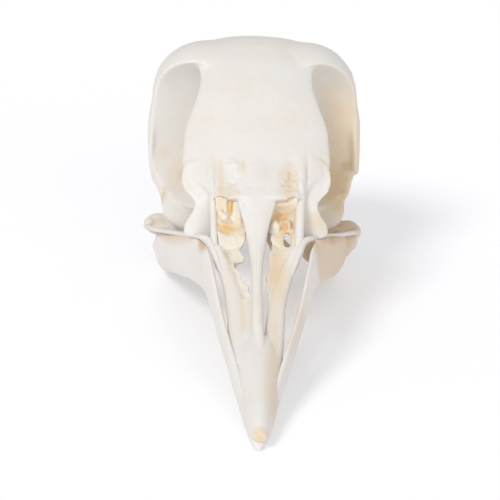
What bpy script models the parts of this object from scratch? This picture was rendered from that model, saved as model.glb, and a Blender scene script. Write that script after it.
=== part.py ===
"""Skull of a rock dove, life size, lying on its lower jaw as it rests on a table.

The bones are laid out in the skull's own frame, in millimetres: x to the bird's left, f forward
from the jaw joints, and h above the level cheek bars. The frame is then tipped back on the tip of
the lower jaw and its two heels, which touch the floor. The bill points to -Y.
"""

import math

import bmesh
import bpy
from mathutils import Matrix, Vector

MM = 0.001

# Driving sizes of the skull, mm
CASE_CENTRE = (0.0, -0.9, 9.0)
CASE_RADII = (10.1, 9.6, 9.5)
BRAIN_CENTRE = (0.0, -2.9, 9.2)
BRAIN_RADII = (7.9, 5.8, 7.3)
SPINAL_OPENING = (0.0, -7.3, 1.6)
SPINAL_RADII = (2.6, 4.2, 2.4)
ORBIT_CENTRE = (8.3, 10.0, 8.4)
ORBIT_RADII = (7.5, 8.2, 7.6)
JAW_TIP = (36.6, -16.3)
JAW_HEEL = (-3.6, -4.1)
JAW_SHIFT = 0.38
JAW_BEND = 20.0
BONE_GAP = 0.3
FLOOR_TRIM = 0.22
LEVELLING_ROUNDS = 4

# How finely the blended bones are made, mm
BLEND_CELL = 0.3
FINE_CELL = 0.17
SPARED_SHARE = 0.79
RING_POINTS = 24
STEPS_PER_SPAN = 5

BONE_COLOUR = (0.83, 0.79, 0.72, 1.0)
JAW_COLOUR = (0.84, 0.80, 0.74, 1.0)
INNER_BONE_COLOUR = (0.74, 0.63, 0.48, 1.0)
BONE_ROUGHNESS = 0.55

REST_TILT = math.atan2(JAW_HEEL[1] - JAW_TIP[1], JAW_TIP[0] - JAW_HEEL[0])


# ---------------------------------------------------------------- scene


def clear_scene():
    for obj in list(bpy.data.objects):
        bpy.data.objects.remove(obj, do_unlink=True)


def new_collection(name):
    collection = bpy.data.collections.new(name)
    bpy.context.scene.collection.children.link(collection)
    return collection


BONES = new_collection("dove_skull")
CUTTERS = new_collection("cutters")


def bone_material(name, colour):
    material = bpy.data.materials.new(name)
    material.use_nodes = True
    shader = material.node_tree.nodes["Principled BSDF"]
    shader.inputs["Base Color"].default_value = colour
    shader.inputs["Roughness"].default_value = BONE_ROUGHNESS
    shader.inputs["Metallic"].default_value = 0.0
    return material


# ---------------------------------------------------------------- closed shapes


def place(x, f, h):
    """A point of the skull's frame as a Blender vector: the bill points to -Y."""
    return Vector((x, -f, h)) * MM


def smooth_rows(rows, steps=STEPS_PER_SPAN):
    """Rows of numbers joined by a Catmull-Rom curve, steps rows to a span."""
    ends = [rows[0], *rows, rows[-1]]
    made = []
    for a, b, c, d in zip(ends, ends[1:], ends[2:], ends[3:]):
        for step in range(steps):
            t = step / steps
            weights = (
                -t + 2 * t**2 - t**3,
                2 - 5 * t**2 + 3 * t**3,
                t + 4 * t**2 - 3 * t**3,
                t**3 - t**2,
            )
            made.append([sum(w * v for w, v in zip(weights, four)) / 2 for four in zip(a, b, c, d)])
    made.append(list(rows[-1]))
    return made


def ellipsoid(centre, radii, power=2.0, lean=0.0):
    """A closed ellipsoid, boxier as power passes 2, its front tipped down by lean degrees."""
    bm = bmesh.new()
    bmesh.ops.create_uvsphere(bm, u_segments=40, v_segments=24, radius=1.0)
    turn = Matrix.Rotation(math.radians(lean), 3, "X")
    for vert in bm.verts:
        size = sum(abs(c) ** power for c in vert.co) ** (1 / power)
        spread = Vector(c / size * r for c, r in zip(vert.co, radii))
        vert.co = place(*centre) + turn @ spread * MM
    return bm


def signed_power(value, power):
    return math.copysign(abs(value) ** power, value)


def loft(rows, power=2.0, sideways=(1, 0, 0), leaning=0):
    """A closed bar or blade along rows of (x, f, h, half_width, half_depth, bend).

    Each ring is a superellipse square to the path. half_width runs sideways and half_depth
    across it. In a roof, bend is how far the ring's two sides are lowered, in mm; in a blade
    that leans, it is how many degrees the blade's top leans in towards the middle.
    """
    rows = smooth_rows(rows)
    points = [place(*row[:3]) for row in rows]
    sideways = Vector((sideways[0], -sideways[1], sideways[2]))
    bm = bmesh.new()
    rings = []
    for i, row in enumerate(rows):
        ahead = (points[min(i + 1, len(rows) - 1)] - points[max(i - 1, 0)]).normalized()
        side = (sideways - ahead * sideways.dot(ahead)).normalized()
        up = side.cross(-ahead)
        half_width, half_depth, drop = (value * MM for value in row[3:6])
        if leaning:
            lean = Matrix.Rotation(math.radians(leaning * row[5]), 3, ahead)
            side, up, drop = lean @ side, lean @ up, 0.0
        ring = []
        for k in range(RING_POINTS):
            angle = 2 * math.pi * k / RING_POINTS
            across = signed_power(math.cos(angle), 2 / power)
            over = signed_power(math.sin(angle), 2 / power)
            offset = side * half_width * across + up * (half_depth * over - drop * across**2)
            ring.append(bm.verts.new(points[i] + offset))
        rings.append(ring)
    for first, second in zip(rings, rings[1:]):
        for k in range(RING_POINTS):
            n = (k + 1) % RING_POINTS
            bm.faces.new((first[k], first[n], second[n], second[k]))
    for ring in (rings[0], rings[-1]):
        bm.faces.new(ring)
    bmesh.ops.recalc_face_normals(bm, faces=bm.faces)
    return bm


def plate(outline, thickness, at, plane):
    """A flat plate of this thickness, cut to an outline.

    Plane "side" takes an outline of (f, h) at x = at; plane "front" takes (x, h) at f = at,
    where at is a pair: f at h = 0 and how far f moves for each mm of height.
    """
    bm = bmesh.new()
    faces = []
    for shift in (-thickness / 2, thickness / 2):
        if plane == "side":
            points = [place(at + shift, f, h) for f, h in outline]
        else:
            points = [place(x, at[0] + at[1] * h + shift, h) for x, h in outline]
        faces.append(bm.faces.new([bm.verts.new(point) for point in points]))
    lower, upper = ([v for v in face.verts] for face in faces)
    for k in range(len(outline)):
        n = (k + 1) % len(outline)
        bm.faces.new((lower[k], lower[n], upper[n], upper[k]))
    bmesh.ops.recalc_face_normals(bm, faces=bm.faces)
    return bm


def mirrored(rows):
    """The same rows on the other side of the head."""
    return [(-row[0], *row[1:]) for row in rows]


def pair(centre, radii, **shape):
    """Two like ellipsoids, one on each side of the head."""
    return [ellipsoid((side * centre[0], *centre[1:]), radii, **shape) for side in (1, -1)]


# ---------------------------------------------------------------- bones from shapes


def mesh_from(bm):
    """A mesh of one closed shape, its faces turned outwards."""
    mesh = bpy.data.meshes.new("bone")
    if bm.calc_volume(signed=True) < 0:
        bmesh.ops.reverse_faces(bm, faces=bm.faces)
    bm.to_mesh(mesh)
    bm.free()
    return mesh


def add_object(name, mesh, collection):
    obj = bpy.data.objects.new(name, mesh)
    collection.objects.link(obj)
    return obj


def settle(obj):
    """The object's modifiers become its mesh."""
    graph = bpy.context.evaluated_depsgraph_get()
    made = bpy.data.meshes.new_from_object(obj.evaluated_get(graph))
    obj.modifiers.clear()
    obj.data = made


def blend(name, shapes, cell=BLEND_CELL, rounds=3):
    """Overlapping closed shapes melted into one bone, its joins filleted by smoothing."""
    joined = bmesh.new()
    for shape in shapes:
        if isinstance(shape, bpy.types.Object):
            joined.from_mesh(shape.data)
            bpy.data.objects.remove(shape, do_unlink=True)
        else:
            joined.from_mesh(mesh_from(shape))
    obj = add_object(name, mesh_from(joined), BONES)
    remesh = obj.modifiers.new("melt", "REMESH")
    remesh.mode = "VOXEL"
    remesh.voxel_size = cell * MM
    ease = obj.modifiers.new("ease", "SMOOTH")
    ease.factor = 0.5
    ease.iterations = rounds
    settle(obj)
    return obj


def cut_away(obj, cutter, crossed=False, tolerant=False):
    """The bone loses what the cutter fills; crossed says that the cutter's own faces may cross."""
    cutter.hide_render = True
    cutter.display_type = "WIRE"
    modifier = obj.modifiers.new("cut", "BOOLEAN")
    modifier.operation = "DIFFERENCE"
    modifier.object = cutter
    modifier.use_self = crossed
    modifier.use_hole_tolerant = tolerant
    settle(obj)
    bpy.data.objects.remove(cutter, do_unlink=True)


def carve(obj, shapes):
    """Hollows cut out of a bone."""
    for shape in shapes:
        cut_away(obj, add_object("hollow", mesh_from(shape), CUTTERS))


def count_triangles(obj):
    return sum(len(face.vertices) - 2 for face in obj.data.polygons)


def thin_out(obj, triangles):
    """Fewer faces, where the bone is smooth enough to spare them."""
    count = count_triangles(obj)
    if count > triangles:
        reduce = obj.modifiers.new("reduce", "DECIMATE")
        reduce.ratio = triangles / count
        reduce.use_collapse_triangulate = True
        settle(obj)


def keep_largest(obj):
    """Crumbs left by a cut are dropped: the bone is the body with the most points."""
    bm = bmesh.new()
    bm.from_mesh(obj.data)
    loose = set(bm.verts)
    bodies = []
    while loose:
        body = set()
        front = [loose.pop()]
        while front:
            vert = front.pop()
            body.add(vert)
            for edge in vert.link_edges:
                other = edge.other_vert(vert)
                if other in loose:
                    loose.discard(other)
                    front.append(other)
        bodies.append(body)
    largest = max(bodies, key=len, default=set())
    crumbs = [vert for vert in bm.verts if vert not in largest]
    bmesh.ops.delete(bm, geom=crumbs, context="VERTS")
    bm.to_mesh(obj.data)
    bm.free()


def is_sound(obj):
    """A closed surface that turns outwards."""
    bm = bmesh.new()
    bm.from_mesh(obj.data)
    sound = all(edge.is_manifold for edge in bm.edges) and bm.calc_volume(signed=True) > 0
    bm.free()
    return sound


def swollen_copy(obj, gap):
    """The bone grown by gap along its normals, as a cutter."""
    swollen = add_object("clearance", obj.data.copy(), CUTTERS)
    swell = swollen.modifiers.new("swell", "DISPLACE")
    swell.strength = gap * MM
    swell.mid_level = 0.0
    settle(swollen)
    return swollen


def keep_clear(obj, neighbours, gap=BONE_GAP):
    """The bone loses whatever comes nearer than gap to the bones it meets.

    Where a cut leaves the surface open, it is made again a little wider.
    """
    for neighbour in neighbours:
        before = obj.data.copy()
        for wider in (0.0, 0.02, 0.04, 0.07, 0.11):
            for tolerant in (False, True):
                obj.data = before.copy()
                cut_away(obj, swollen_copy(neighbour, gap + wider), True, tolerant)
                keep_largest(obj)
                if is_sound(obj):
                    break
            if is_sound(obj):
                break


# ---------------------------------------------------------------- braincase and forehead


def make_cranium():
    """Braincase and frontal bones in one piece, before they are parted."""
    dome = blend(
        "cranium",
        [
            ellipsoid(CASE_CENTRE, CASE_RADII, power=2.35),
            *pair((4.1, 0.2, 12.5), (5.6, 7.2, 5.5), power=2.2),
            ellipsoid((0, -6.4, 6.8), (5.6, 4.9, 5.8)),
            ellipsoid((0, -1.8, 2.7), (7.0, 5.9, 3.3)),
            *pair((6.8, -1.6, 3.6), (2.2, 3.2, 3.0)),
        ],
    )
    sockets = pair(ORBIT_CENTRE, ORBIT_RADII, power=2.3)
    ears = pair((9.4, -2.6, 3.2), (2.3, 1.9, 1.8))
    carve(dome, [*sockets, *ears])
    roof = loft(
        [
            (0, -1.5, 17.2, 7.6, 0.9, 1.9),
            (0, 0.6, 17.1, 9.0, 0.8, 2.1),
            (0, 2.2, 16.8, 9.15, 0.6, 1.9),
            (0, 3.7, 17.1, 7.6, 0.55, 1.2),
            (0, 4.9, 16.5, 6.0, 0.55, 0.6),
            (0, 6.2, 15.6, 5.35, 0.55, 0.5),
            (0, 8.0, 14.0, 5.25, 0.55, 0.7),
            (0, 9.6, 12.3, 5.75, 0.55, 0.9),
            (0, 11.2, 10.3, 6.45, 0.55, 1.1),
            (0, 12.8, 8.25, 6.65, 0.55, 1.2),
            (0, 14.2, 6.4, 6.5, 0.5, 1.1),
            (0, 15.5, 4.9, 4.85, 0.45, 0.6),
            (0, 16.9, 3.4, 3.75, 0.35, 0.2),
        ],
        power=3.2,
    )
    orbit_rim = [
        (8.3, 1.2, 15.0, 0.7, 0.8, 0),
        (8.9, 0.8, 13.2, 0.65, 1.0, 0),
        (9.3, 0.7, 11.0, 0.6, 1.2, 0),
        (9.5, 1.2, 8.2, 0.5, 1.2, 0),
        (9.55, 2.0, 5.6, 0.35, 0.55, 0),
    ]
    zygomatic = [
        (8.7, -0.8, 5.6, 0.7, 1.4, 0),
        (8.75, 1.0, 4.5, 0.5, 0.9, 0),
        (8.5, 2.9, 3.4, 0.3, 0.35, 0),
    ]
    spurs = [loft(side) for rows in (orbit_rim, zygomatic) for side in (rows, mirrored(rows))]
    condyle = ellipsoid((0, -5.6, 0.1), (0.9, 0.9, 0.8))
    rostrum = loft([(0, 0.0, 0.8, 2.4, 0.8, 0), (0, 3.5, 1.4, 1.2, 0.8, 0), (0, 6.0, 1.7, 0.7, 0.6, 0)])
    cranium = blend("cranium", [dome, roof, condyle, rostrum, *spurs], rounds=2)
    thin_out(cranium, 3300)
    brain = ellipsoid(BRAIN_CENTRE, BRAIN_RADII)
    spinal_opening = ellipsoid(SPINAL_OPENING, SPINAL_RADII, lean=-38.0)
    cavity = blend("cavity", [brain, spinal_opening], cell=0.45)
    thin_out(cavity, 600)
    cut_away(cranium, cavity)
    return cranium


def half_space(f, h, degrees):
    """A big box on the forward side of a plane through (f, h), its top leaning back by degrees."""
    bm = bmesh.new()
    bmesh.ops.create_cube(bm, size=0.2)
    bmesh.ops.translate(bm, verts=bm.verts, vec=(0, -0.1, 0))
    turn = Matrix.Rotation(math.radians(-degrees), 3, "X")
    for vert in bm.verts:
        vert.co = place(0, f, h) + turn @ vert.co
    return bm


def copy_of(obj, name):
    return add_object(name, obj.data.copy(), BONES)


def part_cranium(cranium, coronal=(4.4, 0.0, 0.0), lambdoid=(-3.6, -1.0, 22.0), squamous=9.4):
    """The cranium is parted at its sutures into occiput, braincase, parietal vault and frontal roof."""
    gap = BONE_GAP / 2
    frontal = copy_of(cranium, "frontal_roof")
    carve(frontal, [half_space(coronal[0] + gap, coronal[1], 180.0)])
    carve(frontal, [ellipsoid((0, 4.0, 3.0), (20, 6.5, 9.6), power=4)])
    occiput = copy_of(cranium, "occiput")
    carve(occiput, [half_space(lambdoid[0] - gap, lambdoid[1], lambdoid[2])])
    cranium.name = "braincase"
    carve(cranium, [half_space(coronal[0] - gap, coronal[1], 0.0)])
    carve(cranium, [half_space(lambdoid[0] + gap, lambdoid[1], 180.0 + lambdoid[2])])
    vault = copy_of(cranium, "parietal_vault")
    carve(vault, [half_space(0.0, squamous + gap, -90.0)])
    carve(cranium, [half_space(0.0, squamous - gap, 90.0)])
    for bone in (occiput, cranium, vault, frontal):
        keep_largest(bone)
    return occiput, cranium, vault, frontal


# ---------------------------------------------------------------- bones between the orbits


def make_septum():
    """The thin wall between the eye sockets, on the rod of the rostrum, with its window."""
    outline = [(4.9, 1.0), (4.9, 14.0), (7.0, 13.4), (11.0, 9.6), (14.8, 5.2), (15.2, 2.2), (14.6, 1.0)]
    wall = plate(outline, 0.9, 0.0, "side")
    rod = loft([(0, 4.9, 1.6, 0.8, 0.7, 0), (0, 10.0, 1.5, 0.7, 0.7, 0), (0, 15.6, 1.1, 0.45, 0.5, 0)])
    septum = blend("interorbital_septum", [wall, rod], cell=FINE_CELL, rounds=1)
    carve(septum, [ellipsoid((0, 7.6, 6.9), (2.0, 1.4, 2.1))])
    thin_out(septum, 300)
    return septum


def make_ectethmoid(side):
    """The plate that walls the front of an eye socket, its foot near the cheek bar."""
    outline = [
        (0.8, 5.8),
        (5.4, 5.6),
        (6.5, 5.4),
        (6.35, 4.5),
        (5.8, 3.6),
        (5.35, 2.7),
        (5.7, 1.9),
        (6.2, 1.1),
        (5.4, 0.65),
        (3.4, 1.1),
        (1.6, 2.2),
        (0.8, 3.6),
    ]
    mirror = [(side * x, h) for x, h in outline]
    wall = plate(mirror, 0.8, (15.0, -0.04), "front")
    lip = loft([(side * 6.05, 13.8, 5.6, 0.4, 0.7, 0), (side * 6.0, 14.6, 4.2, 0.35, 0.6, 0)])
    name = "ectethmoid_left" if side > 0 else "ectethmoid_right"
    bone = blend(name, [wall, lip], cell=FINE_CELL, rounds=2)
    thin_out(bone, 220)
    return bone


# ---------------------------------------------------------------- bill


def make_upper_bill():
    """Solid tip, bar of the culmen and both maxillary strips, round the long nostrils."""
    tip = loft(
        [
            (0, 26.5, -8.1, 1.7, 0.5, 0.5),
            (0.05, 28.2, -9.6, 2.15, 1.1, 0.6),
            (0.1, 31.0, -11.8, 1.8, 1.35, 0.6),
            (0.15, 33.6, -13.6, 1.3, 1.2, 0.5),
            (0.15, 35.4, -14.8, 0.9, 0.85, 0.3),
            (0.15, 36.4, -15.4, 0.55, 0.45, 0),
        ],
        power=2.2,
    )
    culmen = loft(
        [
            (0, 16.9, 3.3, 1.9, 0.35, 0.1),
            (0, 18.2, 1.3, 1.15, 0.4, 0.1),
            (0, 20.0, -1.1, 0.68, 0.45, 0.1),
            (0, 22.3, -3.4, 0.5, 0.5, 0.1),
            (0, 25.2, -6.2, 0.55, 0.6, 0.1),
            (0, 28.5, -9.0, 0.6, 0.7, 0.1),
        ]
    )
    strip = [
        (3.6, 18.7, -0.8, 0.5, 0.45, 0),
        (2.7, 20.4, -2.7, 0.65, 0.4, 0),
        (1.9, 23.0, -5.3, 0.8, 0.45, 0),
        (1.5, 26.0, -8.1, 0.95, 0.6, 0),
        (1.2, 28.8, -10.4, 0.8, 0.8, 0),
    ]
    web = loft([(-0.9, 22.8, -5.0, 0.5, 0.3, 0), (-0.95, 25.0, -7.0, 0.5, 0.4, 0), (-0.9, 27.0, -8.8, 0.6, 0.6, 0)])
    bill = blend("upper_bill", [tip, culmen, web, loft(strip), loft(mirrored(strip))], cell=FINE_CELL)
    thin_out(bill, 1200)
    return bill


def make_nasal_bar(side):
    """The slender strut from the forehead down to the maxilla, beside the nostril."""
    rows = [
        (side * 4.05, 14.6, 6.0, 0.33, 0.4, 0),
        (side * 3.92, 15.8, 3.6, 0.33, 0.45, 0),
        (side * 3.8, 17.2, 1.2, 0.33, 0.45, 0),
        (side * 3.65, 18.6, -0.9, 0.35, 0.42, 0),
        (side * 3.3, 19.8, -2.4, 0.35, 0.4, 0),
    ]
    name = "nasal_bar_left" if side > 0 else "nasal_bar_right"
    bone = blend(name, [loft(rows)], cell=FINE_CELL, rounds=1)
    thin_out(bone, 120)
    return bone


# ---------------------------------------------------------------- cheek, palate and jaw joint


def make_jugal_bar(side):
    rows = [
        (side * 10.15, -0.4, 0.35, 0.32, 0.5, 0),
        (side * 9.9, 0.8, 0.2, 0.32, 0.36, 0),
        (side * 8.6, 5.5, 0.1, 0.3, 0.29, 0),
        (side * 6.6, 11.5, 0.05, 0.3, 0.29, 0),
        (side * 4.9, 16.8, 0.05, 0.3, 0.32, 0),
        (side * 4.2, 18.8, -0.2, 0.3, 0.4, 0),
    ]
    name = "jugal_bar_left" if side > 0 else "jugal_bar_right"
    bone = blend(name, [loft(rows)], cell=FINE_CELL, rounds=1)
    thin_out(bone, 150)
    return bone


def make_quadrate(side):
    """The four-armed bone that hangs the jaw and pushes the cheek bar."""
    body = ellipsoid((side * 7.35, -0.2, 1.6), (1.1, 1.25, 1.5))
    foot = ellipsoid((side * 8.4, 0.0, 0.1), (1.6, 1.0, 0.75))
    ball = ellipsoid((side * 7.2, 0.9, 0.2), (0.8, 0.9, 0.8))
    neck = loft([(side * 7.75, -0.6, 2.2, 0.7, 0.8, 0), (side * 7.9, -2.0, 4.6, 0.7, 0.8, 0)])
    blade = loft(
        [
            (side * 7.4, 0.5, 2.3, 0.7, 1.2, 0),
            (side * 6.3, 2.6, 3.0, 0.5, 1.4, 0),
            (side * 4.8, 4.2, 2.9, 0.35, 1.0, 0),
        ]
    )
    cup = ellipsoid((side * 9.7, 0.0, 0.25 - side * 0.25), (0.65, 0.8, 0.7))
    name = "quadrate_left" if side > 0 else "quadrate_right"
    bone = blend(name, [body, foot, ball, neck, blade, cup], cell=FINE_CELL, rounds=3)
    thin_out(bone, 340)
    return bone


def make_pterygoid(side):
    rows = [
        (side * 7.0, 1.4, 0.7, 0.5, 0.5, 0),
        (side * 4.4, 4.2, 0.5, 0.38, 0.4, 0),
        (side * 1.9, 7.2, 0.4, 0.5, 0.5, 0),
    ]
    name = "pterygoid_left" if side > 0 else "pterygoid_right"
    bone = blend(name, [loft(rows, sideways=(0, 1, 0))], cell=FINE_CELL, rounds=1)
    thin_out(bone, 120)
    return bone


def make_palatine(side):
    """The long palate blade, broad behind and drawn out to a strip in front."""
    rows = [
        (side * 1.2, 6.8, 0.1, 0.5, 0.5, 0),
        (side * 1.9, 9.0, -0.6, 1.2, 0.4, 0.3),
        (side * 2.3, 12.0, -1.2, 1.4, 0.35, 0.5),
        (side * 2.1, 16.0, -2.2, 1.1, 0.35, 0.2),
        (side * 1.8, 20.0, -4.3, 0.95, 0.35, 0),
        (side * 1.5, 23.5, -6.9, 0.65, 0.35, 0),
    ]
    name = "palatine_left" if side > 0 else "palatine_right"
    bone = blend(name, [loft(rows)], cell=FINE_CELL, rounds=1)
    thin_out(bone, 220)
    return bone


def jaw_shift(f):
    """The jaw bows a little to the bird's left: most at its bend, not at its joints or tip."""
    return JAW_SHIFT * max(min(f / JAW_BEND, (JAW_TIP[0] - f) / (JAW_TIP[0] - JAW_BEND)), 0.0)


def make_mandible():
    """Both rami of the lower jaw, joined at the tip, with the cups of its joints."""
    ramus = [
        (8.15, -3.7, -3.1, 0.65, 0.95, -8),
        (8.3, -2.0, -2.6, 0.8, 1.5, -11),
        (8.5, 1.0, -2.1, 0.72, 1.9, -13),
        (8.05, 4.5, -1.85, 0.5, 2.1, -11),
        (7.35, 8.5, -1.8, 0.45, 2.1, -8),
        (6.1, 13.0, -1.85, 0.45, 2.1, -3),
        (4.95, 17.0, -2.4, 0.42, 2.05, 3),
        (4.3, 20.0, -3.7, 0.38, 1.8, 4),
        (3.35, 24.0, -7.0, 0.36, 1.3, 4),
        (1.95, 29.0, -11.1, 0.37, 1.1, 5),
        (0.9, 33.0, -14.1, 0.4, 0.9, 4),
        (0.35, 35.4, -15.7, 0.4, 0.6, 0),
        (0.2, 36.2, -16.2, 0.35, 0.35, 0),
    ]
    shapes = []
    for side in (1, -1):
        beam = [(side * row[0] + jaw_shift(row[1]), *row[1:]) for row in ramus]
        inward = [
            (side * 8.2, -0.4, -1.9, 1.1, 0.8, 0),
            (side * 6.0, -0.9, -1.3, 0.5, 0.4, 0),
        ]
        shapes.append(loft(beam, leaning=side))
        shapes.append(loft(inward, sideways=(0, 1, 0)))
        shapes.append(ellipsoid((side * 7.9, 0.0, -1.6), (1.6, 1.6, 1.1)))
    keel = [
        (0.1, 32.0, -14.1, 0.9, 0.5, 0),
        (0.0, 34.5, -15.4, 0.65, 0.6, 0),
        (0.0, 36.3, -16.3, 0.35, 0.4, 0),
    ]
    shapes.append(loft(keel))
    jaw = blend("mandible", shapes, cell=0.2)
    thin_out(jaw, 1400)
    return jaw


# ---------------------------------------------------------------- the skull put together


def rest_tilt(points):
    """The angle that brings the jaw's tip and heels to one height, found in a few rounds."""
    tilt = REST_TILT
    for _ in range(LEVELLING_ROUNDS):
        turned = [Matrix.Rotation(-tilt, 3, "X") @ point for point in points]
        tip = min((p for p in turned if p.y < JAW_BEND * -MM), key=lambda p: p.z)
        heel = min((p for p in turned if p.y > 0), key=lambda p: p.z)
        tilt += math.atan2(heel.z - tip.z, heel.y - tip.y)
    return tilt


def lay_down(bones):
    """The skull is tipped back to rest on the jaw's tip and heels, and shaved flat there."""
    tilt = rest_tilt([vert.co for bone in bones for vert in bone.data.vertices])
    for bone in bones:
        bone.data.transform(Matrix.Rotation(-tilt, 4, "X"))
    points = [vert.co for bone in bones for vert in bone.data.vertices]
    low = min(point.z for point in points) + FLOOR_TRIM * MM
    middle_y = (min(point.y for point in points) + max(point.y for point in points)) / 2
    middle_x = (min(point.x for point in points) + max(point.x for point in points)) / 2
    drop = Matrix.Translation((-middle_x, -middle_y, -low))
    for bone in bones:
        bone.data.transform(drop)
        carve_floor(bone)


def carve_floor(bone):
    if min(vert.co.z for vert in bone.data.vertices) < 0:
        floor = bmesh.new()
        bmesh.ops.create_cube(floor, size=0.2)
        bmesh.ops.translate(floor, verts=floor.verts, vec=(0, 0, -0.1))
        carve(bone, [floor])


def make_bones():
    """All the bones in the skull's own frame, each with its material."""
    plain = bone_material("bone", BONE_COLOUR)
    jaw_bone = bone_material("jaw_bone", JAW_COLOUR)
    inner = bone_material("inner_bone", INNER_BONE_COLOUR)

    occiput, case, vault, frontal = part_cranium(make_cranium())
    septum = make_septum()
    keep_clear(septum, [case, frontal])
    bill = make_upper_bill()
    keep_clear(bill, [frontal])
    bones = {occiput: plain, case: plain, vault: plain, frontal: plain, septum: inner, bill: plain}
    joints = []
    for side in (1, -1):
        ectethmoid = make_ectethmoid(side)
        keep_clear(ectethmoid, [frontal, septum])
        nasal = make_nasal_bar(side)
        keep_clear(nasal, [frontal, bill, ectethmoid])
        quadrate = make_quadrate(side)
        keep_clear(quadrate, [case])
        jugal = make_jugal_bar(side)
        keep_clear(jugal, [quadrate, bill, nasal, ectethmoid])
        pterygoid = make_pterygoid(side)
        keep_clear(pterygoid, [quadrate, septum, case])
        palatine = make_palatine(side)
        keep_clear(palatine, [septum, bill, pterygoid, ectethmoid, nasal])
        bones.update({ectethmoid: inner, nasal: plain, quadrate: plain})
        bones.update({jugal: plain, pterygoid: inner, palatine: inner})
        joints.extend([quadrate, jugal, palatine, pterygoid])
    jaw = make_mandible()
    keep_clear(jaw, [bill, *joints])
    bones[jaw] = jaw_bone

    for bone, material in bones.items():
        thin_out(bone, SPARED_SHARE * count_triangles(bone))
        bone.data.materials.clear()
        bone.data.materials.append(material)
    return list(bones)


def main():
    clear_scene()
    bones = make_bones()
    lay_down(bones)
    for bone in bones:
        bone.data.shade_smooth()


if __name__ == "__main__":
    main()
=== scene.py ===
"""A pigeon's skull at rest on its lower jaw: bone surfaces, stain and painted shade, soft light and
the view.
"""

import math

import bpy
import numpy as np
from mathutils import Matrix, Vector


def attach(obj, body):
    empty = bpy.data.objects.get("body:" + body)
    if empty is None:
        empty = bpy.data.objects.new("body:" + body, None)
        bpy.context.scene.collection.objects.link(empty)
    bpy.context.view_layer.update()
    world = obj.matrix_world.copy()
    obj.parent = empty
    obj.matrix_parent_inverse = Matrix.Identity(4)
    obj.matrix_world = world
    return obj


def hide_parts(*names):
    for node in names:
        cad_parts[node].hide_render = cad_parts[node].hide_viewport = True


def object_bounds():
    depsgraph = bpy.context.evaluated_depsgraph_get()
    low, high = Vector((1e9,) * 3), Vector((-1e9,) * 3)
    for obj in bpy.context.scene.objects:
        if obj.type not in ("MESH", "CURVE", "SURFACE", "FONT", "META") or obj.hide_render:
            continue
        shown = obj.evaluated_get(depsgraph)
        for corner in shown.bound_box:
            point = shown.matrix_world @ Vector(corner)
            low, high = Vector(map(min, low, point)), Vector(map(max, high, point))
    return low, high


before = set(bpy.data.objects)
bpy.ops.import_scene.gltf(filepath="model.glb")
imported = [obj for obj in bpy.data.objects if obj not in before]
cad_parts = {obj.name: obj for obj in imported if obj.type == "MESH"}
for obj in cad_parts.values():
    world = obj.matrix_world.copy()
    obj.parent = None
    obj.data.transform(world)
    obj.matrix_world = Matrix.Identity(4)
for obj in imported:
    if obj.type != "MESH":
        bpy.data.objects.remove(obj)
cad_box = [list(corner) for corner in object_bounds()]

# ------------------------------------------------------------------ the view
# The skull is set out in its own frame, in mm: x to its left, f forward from the jaw joints and h
# above the level cheek bars. It is tipped back to lie on the jaw's tip and two heels. The lens
# looks along the bill from a little above it, down on the floor by about 20.6 degrees.

MM = 0.001
REST_TILT = math.radians(17.829)
REST_SHIFT = np.array([0.002, 13.067, 4.562])


def laid(points):
    """(x, f, h) in mm to the model's metres: turned back by REST_TILT about the cross axis, then
    moved by REST_SHIFT, with the bill to -Y."""
    x, f, h = np.moveaxis(np.asarray(points, float), -1, 0)
    c, s = math.cos(REST_TILT), math.sin(REST_TILT)
    return (np.stack([x, h * s - f * c, f * s + h * c], -1) + REST_SHIFT) * MM


def stood(points):
    """The model's metres back to (x, f, h) in mm: laid() undone."""
    x, y, z = np.moveaxis(np.asarray(points, float) / MM - REST_SHIFT, -1, 0)
    c, s = math.cos(REST_TILT), math.sin(REST_TILT)
    return np.stack([x, z * s - y * c, z * c + y * s], -1)


VIEW_RISE, VIEW_SWING, VIEW_ROLL = (math.radians(angle) for angle in (2.81, 1.15, 0.90))
VIEW_TARGET = np.array([-0.20, 0.0, -1.88])
VIEW_DISTANCE = 240.0
VIEW_FOCAL_PX, PHOTO_PX, SENSOR_MM = 2520.0, 500.0, 36.0

toward = np.array(
    [
        -math.sin(VIEW_SWING) * math.cos(VIEW_RISE),
        math.cos(VIEW_SWING) * math.cos(VIEW_RISE),
        math.sin(VIEW_RISE),
    ]
)
across = np.array([math.cos(VIEW_SWING), math.sin(VIEW_SWING), 0.0])
upward = -np.cross(across, -toward)
roll_c, roll_s = math.cos(VIEW_ROLL), math.sin(VIEW_ROLL)
lens_axes = [roll_c * across + roll_s * upward, roll_c * upward - roll_s * across, toward]
origin = laid([0.0, 0.0, 0.0])
turned_axes = [(laid(axis) - origin) / MM for axis in lens_axes]

lens = bpy.data.cameras.new("view")
lens.sensor_width = SENSOR_MM
lens.lens = VIEW_FOCAL_PX / PHOTO_PX * SENSOR_MM
lens.clip_start, lens.clip_end = 0.01, 10.0
camera = bpy.data.objects.new("view", lens)
camera.matrix_world = Matrix.Translation(laid(VIEW_TARGET + VIEW_DISTANCE * toward)) @ (
    Matrix([list(axis) for axis in turned_axes]).transposed().to_4x4()
)
bpy.context.scene.collection.objects.link(camera)
bpy.context.scene.camera = camera

# ------------------------------------------------------------------ cranium
# Braincase, occiput and forehead: thin bone that fused while the bird was young, so it is one
# piece here. Rounded forms are melted together, the eye sockets, ears and brain hollow are cut
# out of them, and the surface gets its low relief, pores and stains.

SPAN_STEPS, RING_POINTS = 10, 36


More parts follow.
